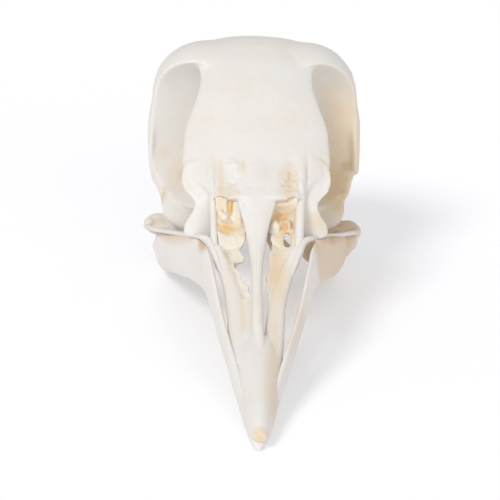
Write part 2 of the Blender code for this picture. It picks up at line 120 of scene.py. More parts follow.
def smooth_rows(rows, steps=SPAN_STEPS):
    """Catmull-Rom: between two rows runs the cubic whose slope at each row is half the step from
    the row before it to the row after it."""
    rows = np.asarray(rows, float)
    ends = np.vstack([rows[:1], rows, rows[-1:]])
    t = np.linspace(0, 1, steps, endpoint=False)
    weights = np.stack(
        [2 * t**2 - t - t**3, 2 - 5 * t**2 + 3 * t**3, t + 4 * t**2 - 3 * t**3, t**3 - t**2], -1
    )
    windows = np.stack([ends[:-3], ends[1:-2], ends[2:-1], ends[3:]], 1)
    made = np.einsum("sk,nkc->nsc", weights / 2, windows).reshape(-1, rows.shape[1])
    return np.vstack([made, rows[-1:]])


def signed_power(values, power):
    """The size of each value to a power, with its sign kept."""
    return np.sign(values) * np.abs(values) ** power


def closed(points, around):
    """A closed shape in metres, from rings of this many points and then the tips of its two ends:
    quads between neighbouring rings and a fan of triangles from each tip. Where the sum of the
    tetrahedra from the middle to the faces is negative, every face is turned over."""
    placed = laid(points)
    first_tip, last_tip = len(points) - 2, len(points) - 1
    k = np.arange(around)
    n = (k + 1) % around
    starts = np.arange(0, first_tip - around, around)[:, None]
    near_edge, far_edge = (starts + k).ravel(), (starts + n).ravel()
    quads = np.stack([near_edge, far_edge, far_edge + around, near_edge + around], -1)
    last_ring = first_tip - around
    first_fan = np.stack([np.full(around, first_tip), n, k], -1)
    last_fan = np.stack([np.full(around, last_tip), last_ring + k, last_ring + n], -1)
    triangles = np.vstack([first_fan, last_fan])
    split = np.vstack([quads[:, [0, 1, 2]], quads[:, [0, 2, 3]], triangles])
    a, b, c = (placed[split[:, corner]] - placed.mean(0) for corner in range(3))
    if np.einsum("ij,ij->i", a, np.cross(b, c)).sum() < 0:
        quads, triangles = quads[:, ::-1], triangles[:, ::-1]
    return placed, quads, triangles


def ball(centre, radii, power=2.0, lean=0.0, rings=36, around=56):
    """Superellipsoid: each direction of a sphere, divided by its length in the given power, times
    the radii; then its front is tipped down by lean degrees about the cross axis."""
    polar = np.linspace(0, math.pi, rings + 1)[1:-1, None]
    turn = np.linspace(0, 2 * math.pi, around, endpoint=False)[None, :]
    out = np.sin(polar)
    ring = np.stack(np.broadcast_arrays(out * np.cos(turn), out * np.sin(turn), np.cos(polar)), -1)
    unit = np.vstack([ring.reshape(-1, 3), [[0, 0, 1], [0, 0, -1]]])
    length = (np.abs(unit) ** power).sum(-1, keepdims=True) ** (1 / power)
    x, f, h = (unit / length * np.asarray(radii)).T
    c, s = math.cos(math.radians(lean)), math.sin(math.radians(lean))
    points = np.stack([x, f * c + h * s, h * c - f * s], -1) + np.asarray(centre)
    return closed(points, around)


def bar(rows, power=2.0, sideways=(1, 0, 0), leaning=0):
    """Superellipse rings square to a path. Rows are (x, f, h, half_width, half_depth, bend): in a
    roof, bend lowers both edges by that many mm; in a blade that leans, it turns the ring's top
    inwards by that many degrees."""
    rows = smooth_rows(rows)
    path = rows[:, :3] * (1, -1, 1)
    ahead = np.gradient(path, axis=0)
    ahead /= np.linalg.norm(ahead, axis=-1, keepdims=True)
    cross = np.asarray(sideways, float) * (1, -1, 1)
    side = cross - ahead * (ahead @ cross)[:, None]
    side /= np.linalg.norm(side, axis=-1, keepdims=True)
    up = np.cross(side, -ahead)
    width, depth, drop = rows[:, 3:4], rows[:, 4:5], rows[:, 5:6]
    if leaning:
        c, s = np.cos(np.radians(leaning * drop)), np.sin(np.radians(leaning * drop))
        side, up = side * c + np.cross(ahead, side) * s, up * c + np.cross(ahead, up) * s
        drop = drop * 0
    angle = np.linspace(0, 2 * math.pi, RING_POINTS, endpoint=False)
    out, over = signed_power(np.cos(angle), 2 / power), signed_power(np.sin(angle), 2 / power)
    rise = depth * over - drop * out**2
    rings = path[:, None] + side[:, None] * (width * out)[..., None] + up[:, None] * rise[..., None]
    points = np.vstack([rings.reshape(-1, 3), path[:1], path[-1:]]) * (1, -1, 1)
    return closed(points, RING_POINTS)


def on_side(rows, side):
    """Rows that begin with x, for the left side as they are (1) or for the right one (-1)."""
    return [(side * x, *rest) for x, *rest in rows]


def both(centre, radii, **form):
    """A ball on each side of the head, the left one first."""
    return [ball((side * centre[0], *centre[1:]), radii, **form) for side in (1, -1)]


def put_together(name, shapes):
    """One object from several closed shapes, or from finished pieces, which it uses up."""
    points, faces, start = [], [], 0
    for shape in shapes:
        if isinstance(shape, bpy.types.Object):
            mesh = shape.data
            mesh.calc_loop_triangles()
            placed = np.empty(len(mesh.vertices) * 3)
            corners = np.empty(len(mesh.loop_triangles) * 3, int)
            mesh.vertices.foreach_get("co", placed)
            mesh.loop_triangles.foreach_get("vertices", corners)
            bpy.data.objects.remove(shape, do_unlink=True)
            shape = (placed.reshape(-1, 3), np.empty((0, 4), int), corners.reshape(-1, 3))
        placed, quads, triangles = shape
        points.append(placed)
        faces += (quads + start).tolist() + (triangles + start).tolist()
        start += len(placed)
    mesh = bpy.data.meshes.new(name)
    mesh.from_pydata(np.vstack(points), [], faces)
    piece = bpy.data.objects.new(name, mesh)
    bpy.context.scene.collection.objects.link(piece)
    return piece


def settle(piece):
    """The piece's modifiers become its mesh."""
    seen = piece.evaluated_get(bpy.context.evaluated_depsgraph_get())
    made = bpy.data.meshes.new_from_object(seen)
    piece.modifiers.clear()
    piece.data = made
    return piece


def melted(name, shapes, cell, rounds):
    """Overlapping shapes become one skin on cells of this size in mm, its joins filleted."""
    piece = put_together(name, shapes)
    skin = piece.modifiers.new("skin", "REMESH")
    skin.mode = "VOXEL"
    skin.voxel_size = cell * MM
    ease = piece.modifiers.new("ease", "SMOOTH")
    ease.factor = 0.5
    ease.iterations = rounds
    return settle(piece)


def hollowed(piece, shapes):
    """The piece without what the shapes fill."""
    for shape in shapes:
        cutter = shape if isinstance(shape, bpy.types.Object) else put_together("hollow", [shape])
        cut = piece.modifiers.new("cut", "BOOLEAN")
        cut.operation = "DIFFERENCE"
        cut.solver = "MANIFOLD"
        cut.object = cutter
        settle(piece)
        bpy.data.objects.remove(cutter, do_unlink=True)
    return piece


LATTICE = 32


def grain(points, size, seed):
    """Soft noise from -1 to 1: random numbers on a lattice with cells of this size in mm, joined
    between its corners with 3t^2 - 2t^3. The lattice repeats after LATTICE cells."""
    lattice = np.random.default_rng(seed).uniform(-1, 1, (LATTICE, LATTICE, LATTICE))
    cell = points / size
    base = np.floor(cell).astype(int)
    t = cell - base
    t = t * t * (3 - 2 * t)
    total = np.zeros(len(points))
    for corner in np.ndindex(2, 2, 2):
        at = (base + corner) % LATTICE
        weight = np.where(np.array(corner, bool), t, 1 - t).prod(-1)
        total += weight * lattice[at[:, 0], at[:, 1], at[:, 2]]
    return total


def near(points, centre, radii):
    """A bell: e to the power of minus the squared distance, measured in radii."""
    return np.exp(-(((points - np.asarray(centre)) / np.asarray(radii)) ** 2).sum(-1))


def relief(piece, height):
    """Each point moves along its normal by height(points) mm, but not out of the solids' box."""
    mesh = piece.data
    placed, normals = np.empty(len(mesh.vertices) * 3), np.empty(len(mesh.vertices) * 3)
    mesh.vertices.foreach_get("co", placed)
    mesh.vertices.foreach_get("normal", normals)
    placed, normals = placed.reshape(-1, 3), normals.reshape(-1, 3)
    placed = np.clip(placed + normals * height(stood(placed))[:, None] * MM, *cad_box)
    mesh.vertices.foreach_set("co", placed.ravel())
    mesh.update()
    mesh.shade_smooth()
    return piece


class Wire:
    """A socket of a material. Sums and products written with it add Math nodes."""

    def __init__(self, tree, socket=None):
        self.tree, self.socket = tree, socket

    def node(self, kind, settings=None, result=0, **values):
        """Adds a node and gives one of its results. Its settings are set first, then the values or
        links of its sockets, which are named with _ for a space, or by place as i0, i1 and on."""
        node = self.tree.nodes.new("ShaderNode" + kind)
        for key, value in (settings or {}).items():
            setattr(node, key, value)
        for key, value in values.items():
            place = int(key[1:]) if key[0] == "i" and key[1:].isdigit() else key.replace("_", " ")
            if isinstance(value, Wire):
                self.tree.links.new(value.socket, node.inputs[place])
            else:
                node.inputs[place].default_value = value
        return Wire(self.tree, node.outputs[result])

    def maths(self, operation, first, second, clamp=False):
        settings = {"operation": operation, "use_clamp": clamp}
        return self.node("Math", settings, i0=first, i1=second)

    def __add__(self, other):
        return self.maths("ADD", self, other)

    def __sub__(self, other):
        return self.maths("SUBTRACT", self, other)

    def __rsub__(self, other):
        return self.maths("SUBTRACT", other, self)

    def __mul__(self, other):
        return self.maths("MULTIPLY", self, other)

    __radd__, __rmul__ = __add__, __mul__

    def clamped(self):
        """Cut off at 0 and 1."""
        return self.maths("ADD", self, 0.0, clamp=True)

    def towards(self, colour, amount):
        """This colour mixed with another. A colour mix takes its share at socket 0 and its two
        colours at 6 and 7, and gives its result at 2."""
        return self.node("Mix", {"data_type": "RGBA"}, 2, i0=amount, i6=self, i7=colour)

    def noise(self, size, detail, roughness):
        """Noise from 0 to 1 whose lumps are about this many mm across."""
        form = {"Scale": 1 / size, "Detail": detail, "Roughness": roughness}
        return self.node("TexNoise", Vector=self, **form)

    def vectors(self, operation, first, second, result=0):
        """Vector Math, whose result is at 0, or at 1 where it is a number."""
        return self.node("VectorMath", {"operation": operation}, result, i0=first, i1=second)

    def spots(self, places):
        """Sum of soft spots (x, f, h, rx, rf, rh, strength): strength times one minus the squared
        distance from the spot's centre, measured in its radii."""
        total = 0.0
        for x, f, h, rx, rf, rh, strength in places:
            away = self.vectors("SUBTRACT", self, (x, -f, h))
            scaled = self.vectors("MULTIPLY", away, (1 / rx, 1 / rf, 1 / rh))
            squared = self.vectors("DOT_PRODUCT", scaled, scaled, 1)
            total = (1.0 - squared).clamped() * strength + total
        return total


# sizes are in mm, and clouds and specks show where their noise is above these values
CLOUD_SIZE, FINE_SIZE, SPECK_SIZE = 3.2, 0.35, 0.16
CLOUD_FROM, SPECK_FROM = 0.46, 0.64
PORE_TINT = (0.72, 0.66, 0.55)
BUMP_STRENGTH, BUMP_HEIGHT = 0.35, 0.06
ROUGH_FROM, ROUGH_RANGE = 0.36, 0.22
GLOW_SHARE, GLOW_REACH, GLOW_COLOURS = 0.18, 0.7, (1.0, 0.62, 0.35)
SPECULAR = 0.35

# the turn that stands the laid skull up again, for the patterns of the bone
TURN_BACK = np.array(Matrix.Rotation(REST_TILT, 3, "X"))


def bone_finish(name, lit, tan, stains_and_shade=(), shade_and_glow=(0.55, 0.33, 0.13), shade_and_glow_spots=(), pores=0.25):
    """Dry bone: lit colour with faint warm clouds, tan where it is stained and tan painted shade on
    sides turned from the lamp, painted warm brown shade in its hollows, which also stands for light
    glowing through thin bone, fine pores that darken and pit it, light that glows through thin
    places, and a soft gloss. The patterns are set out in the skull's own frame, in mm."""
    material = bpy.data.materials.new(name)
    material.use_nodes = True
    tree = material.node_tree
    shader = tree.nodes["Principled BSDF"]
    wire = Wire(tree)
    moved = -origin @ TURN_BACK.T / MM
    placing = {
        "Vector": wire.node("TexCoord", result="Object"),
        "Location": tuple(float(value) for value in moved),
        "Rotation": (REST_TILT, 0.0, 0.0),
        "Scale": (1 / MM, 1 / MM, 1 / MM),
    }
    skull = wire.node("Mapping", **placing)
    cloud = skull.noise(CLOUD_SIZE, 4.0, 0.55)
    fine = skull.noise(FINE_SIZE, 5.0, 0.65)
    speck = skull.noise(SPECK_SIZE, 2.0, 0.5)
    colour = wire.node("RGB")
    colour.socket.default_value = (*lit, 1.0)
    colour = colour.towards((*tan, 1.0), ((cloud - CLOUD_FROM) * 0.9).clamped())
    # tan both where the bone is stained and where painted shade darkens a side turned from the lamp
    if stains_and_shade:
        amount = skull.spots(stains_and_shade) * (cloud * 0.7 + fine * 0.9)
        colour = colour.towards((*tan, 1.0), amount.clamped())
    # painted shade in hollows, warm so that it also stands for light glowing through thin bone
    if shade_and_glow_spots:
        amount = skull.spots(shade_and_glow_spots) * (fine * 1.1 + 0.4)
        colour = colour.towards((*shade_and_glow, 1.0), amount.clamped())
    pore = ((speck - SPECK_FROM) * 6.0).clamped() * pores
    pore_colour = tuple(part * tint for part, tint in zip(tan, PORE_TINT))
    colour = colour.towards((*pore_colour, 1.0), pore)
    height = fine * 0.6 + cloud * 0.5 - pore * 1.5
    form = {"Strength": BUMP_STRENGTH, "Distance": BUMP_HEIGHT * MM, "Height": height}
    bump = wire.node("Bump", **form)
    tree.links.new(colour.socket, shader.inputs["Base Color"])
    tree.links.new((fine * ROUGH_RANGE + ROUGH_FROM).socket, shader.inputs["Roughness"])
    tree.links.new(bump.socket, shader.inputs["Normal"])
    shader.inputs["Subsurface Weight"].default_value = GLOW_SHARE
    shader.inputs["Subsurface Radius"].default_value = GLOW_COLOURS
    shader.inputs["Subsurface Scale"].default_value = GLOW_REACH * MM
    shader.inputs["Specular IOR Level"].default_value = SPECULAR
    return material


def dressed(piece, finish, slot, *nodes):
    """The piece gets its finish, rides on the skull and stands for these solids, which are hidden.
    Its slot is not used.
    """
    piece.data.materials.clear()
    piece.data.materials.append(finish)
    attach(piece, "root")
    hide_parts(*nodes)
    return piece


CROWN_BONE = (0.755, 0.728, 0.680)
TAN_BONE = (0.73, 0.60, 0.42)

# rounded forms: the middle, then the radii
VAULT = ((0.0, -0.9, 9.0), (10.1, 9.6, 9.5))
CROWN_SWELLS = ((4.1, 0.2, 12.5), (5.6, 7.2, 5.5))
NAPE = ((0.0, -6.4, 6.8), (5.6, 4.9, 5.8))
UNDERSIDE = ((0.0, -1.8, 2.7), (7.0, 5.9, 3.3))
EAR_SWELLS = ((6.8, -1.6, 3.6), (2.2, 3.2, 3.0))
EYE_SOCKETS = ((8.3, 10.0, 8.6), (7.5, 8.2, 8.0))
EAR_HOLLOWS = ((9.4, -2.6, 3.2), (2.3, 1.9, 1.8))
NECK_KNOB = ((0.0, -5.6, 0.1), (0.9, 0.9, 0.8))
JAW_JOINT_SWELLS = ((6.0, 1.0, 2.9), (2.0, 2.1, 1.9))
SOCKET_FLOORS = ((6.4, 2.9, 2.3), (2.2, 0.8, 2.5))
BRAIN_ROOM = ((0.0, -2.9, 9.2), (7.9, 5.8, 7.3))
NECK_OPENING = ((0.0, -7.3, 1.6), (2.6, 4.2, 2.4))
NOSTRIL_TOPS = ((3.35, 17.4, 2.85), (1.0, 1.3, 0.95))

# bars: (x, f, h, half_width, half_depth, bend)
UNDERSIDE_ROD = [(0, 0.0, 0.8, 2.4, 0.8, 0), (0, 3.5, 1.4, 1.2, 0.8, 0), (0, 6.0, 1.7, 0.7, 0.6, 0)]
FOREHEAD = [
    (0, -1.5, 17.2, 7.6, 0.9, 1.9),
    (0, 0.6, 17.1, 9.0, 0.8, 2.1),
    (0, 2.2, 16.8, 9.15, 0.6, 1.9),
    (0, 3.7, 17.1, 7.6, 0.55, 1.5),
    (0, 4.9, 16.5, 6.0, 0.55, 0.9),
    (0, 6.2, 15.6, 5.35, 0.55, 0.7),
    (0, 8.0, 14.0, 5.25, 0.55, 0.8),
    (0, 9.6, 12.3, 5.75, 0.55, 0.95),
    (0, 11.2, 10.3, 6.45, 0.55, 1.15),
    (0, 12.8, 8.25, 6.65, 0.55, 1.2),
    (0, 14.2, 6.4, 6.5, 0.5, 1.1),
    (0, 15.5, 4.9, 4.85, 0.45, 0.6),
    (0, 16.9, 3.4, 3.75, 0.35, 0.2),
]
ORBIT_RIM_LEFT = [
    (8.3, 1.2, 15.0, 0.7, 0.8, 0),
    (8.9, 0.8, 13.2, 0.65, 1.0, 0),
    (9.3, 0.7, 11.0, 0.6, 1.2, 0),
    (9.5, 1.2, 8.2, 0.5, 1.2, 0),
    (9.55, 2.0, 5.6, 0.35, 0.55, 0),
]
ORBIT_RIM_RIGHT = [
    (-8.3, 1.2, 15.0, 0.6, 0.8, 0),
    (-8.95, 0.8, 13.2, 0.5, 1.0, 0),
    (-9.45, 0.7, 11.0, 0.42, 1.2, 0),
    (-9.65, 0.9, 8.2, 0.35, 1.2, 0),
    (-9.6, 1.1, 6.2, 0.32, 0.9, 0),
    (-9.15, 1.0, 4.4, 0.35, 0.7, 0),
]
CHEEK_SPUR = [
    (8.7, -0.8, 5.6, 0.7, 1.4, 0),
    (8.75, 1.0, 4.5, 0.5, 0.9, 0),
    (8.5, 2.9, 3.4, 0.3, 0.35, 0),
]
NASAL_ROOT = [
    (3.95, 12.6, 8.2, 0.2, 0.15, 0),
    (4.0, 13.8, 6.75, 0.36, 0.25, 0),
    (4.0, 15.0, 5.25, 0.36, 0.38, 0),
    (3.9, 16.2, 3.3, 0.2, 0.25, 0),
]
CULMEN_ROOT = [
    (0, 12.6, 8.7, 0.8, 0.15, 0.1),
    (0, 14.25, 6.72, 1.6, 0.28, 0.2),
    (0, 15.9, 4.65, 1.85, 0.36, 0.2),
    (0, 17.3, 2.7, 1.45, 0.4, 0.1),
    (0, 18.6, 0.7, 0.6, 0.3, 0.1),
]

# the lobe in front of each eye socket, beside the nasal bar: its outline (x, h), thickness and
# how it bends
LOBE_OUTLINE = [
    (3.6, 6.8),
    (6.2, 6.6),
    (6.7, 5.2),
    (6.45, 4.2),
    (5.85, 3.55),
    (5.45, 2.85),
    (5.75, 2.0),
    (6.3, 1.2),
    (6.4, 0.3),
    (5.5, -0.1),
    (4.2, -0.1),
    (3.7, 1.0),
    (3.5, 4.5),
]
LOBE_THICKNESS = 0.6
LOBE_FRONT, LOBE_SLOPE, LOBE_FOLD, LOBE_FOLD_WIDTH = 15.45, 0.42, 4.4, 1.2
LOBE_CURVE, LOBE_CURVE_FROM = 0.16, 4.6


OUTLINE_STEPS = 6


def slab(outline, thickness, place):
    """A plate: the closed outline, rounded by a Catmull-Rom curve of OUTLINE_STEPS between two of
    its points, twice over, half the thickness to each side. place turns the outline's pairs of
    numbers and a distance through the plate into (x, f, h)."""
    loop = np.asarray(outline, float)
    rounded = smooth_rows(np.vstack([loop[-1:], loop, loop[:2]]), OUTLINE_STEPS)
    edge = rounded[OUTLINE_STEPS : -OUTLINE_STEPS - 1]
    middle = np.array([edge.mean(0)])
    half = thickness / 2
    sides = [place(pairs, through) for pairs in (edge, middle) for through in (-half, half)]
    return closed(np.vstack(sides), len(edge))


def lobe_place(p, through):
    """Flush with the forehead's slope above LOBE_FOLD and hanging straight below it. With t for the
    height above the fold, f falls by LOBE_SLOPE times the sum of t and the root of t squared plus
    LOBE_FOLD_WIDTH, and outwards of LOBE_CURVE_FROM by LOBE_CURVE times the square of the way."""
    x, h = p.T
    t = h - LOBE_FOLD
    bend = LOBE_SLOPE * (t + np.sqrt(t * t + LOBE_FOLD_WIDTH))
    curve = LOBE_CURVE * np.clip(np.abs(x) - LOBE_CURVE_FROM, 0, None) ** 2
    return np.column_stack([x, LOBE_FRONT - bend - curve + through, h])


dome = melted(
    "dome",
    [
        ball(*VAULT, power=2.35, rings=60, around=90),
        *both(*CROWN_SWELLS, power=2.2),
        ball(*NAPE),
        ball(*UNDERSIDE),
        *both(*EAR_SWELLS),
    ],
    cell=0.22,
    rounds=8,
)
hollowed(dome, [*both(*EYE_SOCKETS, power=2.45, rings=60, around=90), *both(*EAR_HOLLOWS)])
lobes = [slab(on_side(LOBE_OUTLINE, side), LOBE_THICKNESS, lobe_place) for side in (1, -1)]
spurs = [bar(ORBIT_RIM_LEFT), bar(ORBIT_RIM_RIGHT)]
spurs += [bar(on_side(rows, side)) for rows in (CHEEK_SPUR, NASAL_ROOT) for side in (1, -1)]
cranium = melted(
    "cranium",
    [
        dome,
        bar(FOREHEAD, power=3.2),
        bar(CULMEN_ROOT),
        ball(*NECK_KNOB),
        bar(UNDERSIDE_ROD),
        *both(*JAW_JOINT_SWELLS),
        *both(*SOCKET_FLOORS, lean=-35.0),
        *lobes,
        *spurs,
    ],
    cell=0.17,
    rounds=5,
)
brain_hollow = melted(
    "brain_hollow", [ball(*BRAIN_ROOM), ball(*NECK_OPENING, lean=-38.0)], cell=0.25, rounds=4
)
hollowed(cranium, [brain_hollow, *both(*NOSTRIL_TOPS)])

PIT_DEPTH, PIT_RADIUS = 0.12, 0.2
BONE_PITS = [
    (-1.2, 9.0, 12.9),
    (0.9, 11.6, 10.1),
    (-7.6, 0.6, 17.4),
    (2.2, 3.0, 17.4),
    (-3.2, 7.0, 14.8),
]


def cranium_relief(p):
    """Broad swells and finer ripples everywhere; a rough, sunk patch on each side of the root of
    the bill, with a smooth blister and a small pit in the skull's right one; a fine groove beside
    the left nasal bar; a pitted patch on the left lobe; and a few small vessel pits."""
    right_patch = near(p, (-2.35, 15.2, 5.3), (0.95, 4.0, 1.75))
    left_patch = near(p, (2.9, 15.2, 5.1), (0.75, 4.0, 1.6))
    blister = near(p, (-2.1, 14.6, 6.3), (0.6, 2.0, 0.7))
    spot = near(p, (-1.2, 14.6, 6.35), (0.14, 2.0, 0.45))
    lobe = near(p, (6.0, 13.4, 6.9), (0.9, 3.0, 1.4))
    groove = np.exp(-(((p[:, 0] - 4.58) / 0.1) ** 2)) * near(p, (4.6, 14.6, 5.4), (1.0, 4.0, 1.9))
    height = 0.045 * grain(p, 2.6, 11) + 0.02 * grain(p, 0.9, 12) + 0.007 * grain(p, 0.35, 13)
    height += right_patch * (0.14 * grain(p, 0.38, 14) - 0.20) + 0.26 * blister - 0.07 * spot
    height += left_patch * (0.26 * grain(p, 0.34, 14) - 0.20) - 0.14 * groove
    height -= lobe * 0.16 * np.clip(grain(p, 0.38, 15), 0, 1)
    for pit in BONE_PITS:
        height -= PIT_DEPTH * near(p, pit, (PIT_RADIUS, PIT_RADIUS, PIT_RADIUS))
    return height


relief(cranium, cranium_relief)

# soft spots: (x, f, h, rx, rf, rh, strength)
crown_finish = bone_finish(
    "crown_bone",
    CROWN_BONE,
    TAN_BONE,
    stains_and_shade=[
        (2.9, 15.6, 4.8, 1.1, 3.4, 2.6, 1.0),
        (-3.2, 15.2, 5.0, 0.35, 3.4, 2.6, 0.8),
        (-1.2, 14.6, 6.3, 0.3, 2.0, 0.7, 0.8),
        (-2.4, 16.2, 4.0, 1.2, 2.4, 1.0, 0.6),
        # these two paint tan shade and the warm glow of light through thin bone on the skull's left
        # eye socket, which is turned from the lamp
        (8.0, 2.0, 7.0, 4.2, 5.0, 9.0, 1.2),
        (7.6, 1.0, 3.0, 3.0, 4.0, 3.0, 0.7),
        (-6.9, 3.6, 5.4, 1.9, 3.0, 2.0, 0.8),
        (-8.5, 1.0, 3.2, 0.5, 3.0, 1.3, 0.9),
        (-8.5, 1.0, 7.2, 0.8, 3.0, 0.9, 0.5),
        (5.6, 15.0, 1.4, 1.6, 2.0, 1.4, 0.7),
        (6.0, 13.6, 6.8, 1.1, 2.0, 1.6, 0.4),
    ],
    shade_and_glow=(0.58, 0.37, 0.15),
    # painted shade, warm: in the fossa behind the right lobe, on the left socket's walls and under
    # the nape
    shade_and_glow_spots=[
        (-6.85, 3.8, 5.3, 0.6, 3.0, 0.8, 0.35),
        (-6.25, 4.6, 4.3, 0.3, 3.0, 0.6, 0.9),
        (7.3, 2.6, 4.6, 2.2, 3.0, 3.0, 0.35),
        (8.7, 1.5, 6.3, 0.7, 3.0, 0.6, 0.5),
        (6.5, 3.6, 4.6, 0.6, 3.0, 1.2, 0.5),
        (0.0, -6.6, 2.4, 3.2, 3.4, 2.6, 0.3),
    ],
)
dressed(cranium, crown_finish, "bone", "braincase", "parietal_vault", "occiput", "frontal_roof")

# ------------------------------------------------------------------ wall between the sockets
# A thin upright plate of bone with a window in it, standing on the rod that runs forward from
# under the braincase. It is fused to the forehead above.

# (f, h)
SEPTUM_OUTLINE = [
    (4.3, 1.0),
    (4.3, 14.4),
    (7.0, 13.6),
    (11.0, 9.9),
    (14.8, 5.4),
    (15.2, 2.2),
    (14.6, 1.0),
]
SEPTUM_THICKNESS = 0.7
SEPTUM_ROD = [(0, 4.3, 1.6, 0.8, 0.7, 0), (0, 10.0, 1.5, 0.7, 0.7, 0), (0, 15.6, 1.1, 0.45, 0.5, 0)]
SEPTUM_WINDOW = ((0.0, 7.6, 6.9), (2.0, 1.4, 2.1))


def septum_place(p, through):
    """Upright in the middle of the skull: the distance through the plate is x."""
    return np.column_stack([np.full(len(p), through), p])


septum_plate = slab(SEPTUM_OUTLINE, SEPTUM_THICKNESS, septum_place)
septum = melted("septum", [septum_plate, bar(SEPTUM_ROD)], cell=0.12, rounds=3)
hollowed(septum, [ball(*SEPTUM_WINDOW)])
relief(septum, lambda p: 0.03 * grain(p, 1.4, 21) + 0.015 * grain(p, 0.5, 22))
# Its warm spot is painted shade low at the front of the plate, between the nostrils.
inner_finish = bone_finish(
    "inner_bone",
    (0.72, 0.66, 0.55),
    (0.64, 0.49, 0.30),
    stains_and_shade=[(0, 14.0, 2.0, 5.0, 4.0, 4.0, 0.8)],
    shade_and_glow_spots=[(0, 15.0, 1.2, 2.5, 2.4, 2.2, 0.4)],
    pores=0.4,
)
dressed(septum, inner_finish, "inner_bone", "interorbital_septum")

# ------------------------------------------------------------------ front walls of the sockets
# Two thin, rough plates of bone behind the cranium's lobes. They close the eye sockets in front
# and are the tan walls seen through the nostrils.

# (x, h)
WALL_OUTLINE = [
    (0.5, 5.8),
    (3.6, 5.3),
    (5.3, 4.3),
    (5.6, 3.6),
    (5.1, 2.7),
    (5.4, 1.9),
    (5.8, 1.1),
    (5.2, 0.65),
    (3.4, 1.1),
    (1.6, 2.2),
    (0.5, 3.6),
]
WALL_THICKNESS, WALL_FRONT, WALL_SLOPE = 0.5, 14.3, 0.04
SIDES = ((1, "left"), (-1, "right"))


def wall_place(p, through):
    """Almost upright: f falls by WALL_SLOPE times the height."""
    return np.column_stack([p[:, 0], WALL_FRONT - WALL_SLOPE * p[:, 1] + through, p[:, 1]])


def wall_relief(p):
    """Pitted towards the outer edge, ridged and spongy over the inner part."""
    outer = np.clip((np.abs(p[:, 0]) - 3.8) / 0.8, 0, 1)
    pitted = -0.1 * np.clip(grain(p, 0.4, 31), 0, 1) * near(p, (0, 14, 5.2), (30, 3, 1.3))
    return outer * (pitted + 0.02 * grain(p, 0.9, 32)) + (1 - outer) * 0.13 * grain(p, 0.6, 33)


# Painted light: the orange over the inner part of these plates is painted glow of light through
# thin bone, and their warm spots are painted shade far in the nostrils.
wall_finish = bone_finish(
    "socket_wall_bone",
    (0.75, 0.71, 0.63),
    (0.72, 0.55, 0.32),
    stains_and_shade=[(0.0, 14.6, 3.4, 4.6, 3.0, 5.0, 1.3), (6.2, 14.0, 3.6, 1.6, 3.0, 3.4, 0.5)],
    shade_and_glow=(0.66, 0.38, 0.14),
    shade_and_glow_spots=[(2.2, 14.8, 2.0, 1.8, 1.5, 1.5, 1.0), (-2.5, 14.8, 2.6, 1.5, 1.5, 1.9, 1.0)],
    pores=0.5,
)
for side, word in SIDES:
    wall = slab(on_side(WALL_OUTLINE, side), WALL_THICKNESS, wall_place)
    socket_wall = melted(f"socket_wall_{word}", [wall], cell=0.11, rounds=3)
    relief(socket_wall, wall_relief)
    dressed(socket_wall, wall_finish, "inner_bone", f"ectethmoid_{word}")

# ------------------------------------------------------------------ upper bill
# Solid tip, the bar along the bill's ridge and the two flat strips below the nostrils, with the
# thin, torn shelves of the palate on the strips' inner sides. All one bone.

SHELF_THICKNESS, SHELF_STEPS, SHELF_COLUMNS = 0.34, 8, 14
TORN_BY, TORN_SIZE = 0.12, 0.35
SLANT = 0.7


def shelf(edges, sag=0.3, drop=0.25):
    """A thin plate between two edges, from rows (x_outer, x_inner, f, h): straight across from one
    edge to the other, sunk by drop and by sag times the sine of the way across, down and back
    alike (SLANT is about the root of a half). Noise tears its inner edge."""
    rows = smooth_rows(edges, SHELF_STEPS)
    way = np.linspace(0, 1, SHELF_COLUMNS)
    torn = TORN_BY * grain(np.column_stack([rows[:, 0], rows[:, 2], rows[:, 3]]), TORN_SIZE, 41)
    x = rows[:, :1] * (1 - way) + (rows[:, 1:2] + torn[:, None]) * way
    sunk = sag * np.sin(math.pi * way)[None, :] + drop
    sheets = []
    for depth in (SHELF_THICKNESS / 2, -SHELF_THICKNESS / 2):
        moved = (depth - sunk) * SLANT
        f, h = rows[:, 2:3] + moved, rows[:, 3:4] + moved
        sheets.append(np.stack(np.broadcast_arrays(x, f, h), -1))
    ring = np.concatenate([sheets[0], sheets[1][:, ::-1]], 1)
    points = np.vstack([ring.reshape(-1, 3), ring[0].mean(0), ring[-1].mean(0)])
    return closed(points, ring.shape[1])


BILL_TIP = [
    (0, 26.5, -8.1, 1.7, 0.5, 0.5),
    (0.05, 28.2, -9.6, 2.15, 1.1, 0.6),
    (0.1, 31.0, -11.8, 1.8, 1.35, 0.6),
    (0.15, 33.6, -13.6, 1.3, 1.2, 0.5),
    (0.15, 35.4, -14.8, 0.9, 0.85, 0.3),
    (0.15, 36.4, -15.4, 0.55, 0.45, 0),
]
TIP_CREST = [
    (0.1, 26.4, -6.95, 0.4, 0.3, 0),
    (0.2, 28.4, -8.75, 0.4, 0.3, 0),
    (0.28, 31.6, -10.92, 0.32, 0.26, 0),
    (0.3, 34.1, -12.85, 0.26, 0.22, 0),
    (0.25, 35.7, -14.2, 0.2, 0.16, 0),
]
RIDGE_BAR = [
    (0, 16.2, 4.4, 1.8, 0.3, 0.1),
    (0, 16.9, 3.3, 1.75, 0.35, 0.1),
    (0, 18.2, 1.3, 1.15, 0.4, 0.1),
    (0, 20.0, -1.1, 0.68, 0.45, 0.1),
    (0, 22.3, -3.4, 0.5, 0.5, 0.1),
    (0, 25.2, -6.2, 0.55, 0.6, 0.1),
    (0.05, 27.0, -8.0, 0.55, 0.6, 0.1),
    (0.1, 28.8, -9.9, 0.4, 0.6, 0.1),
]
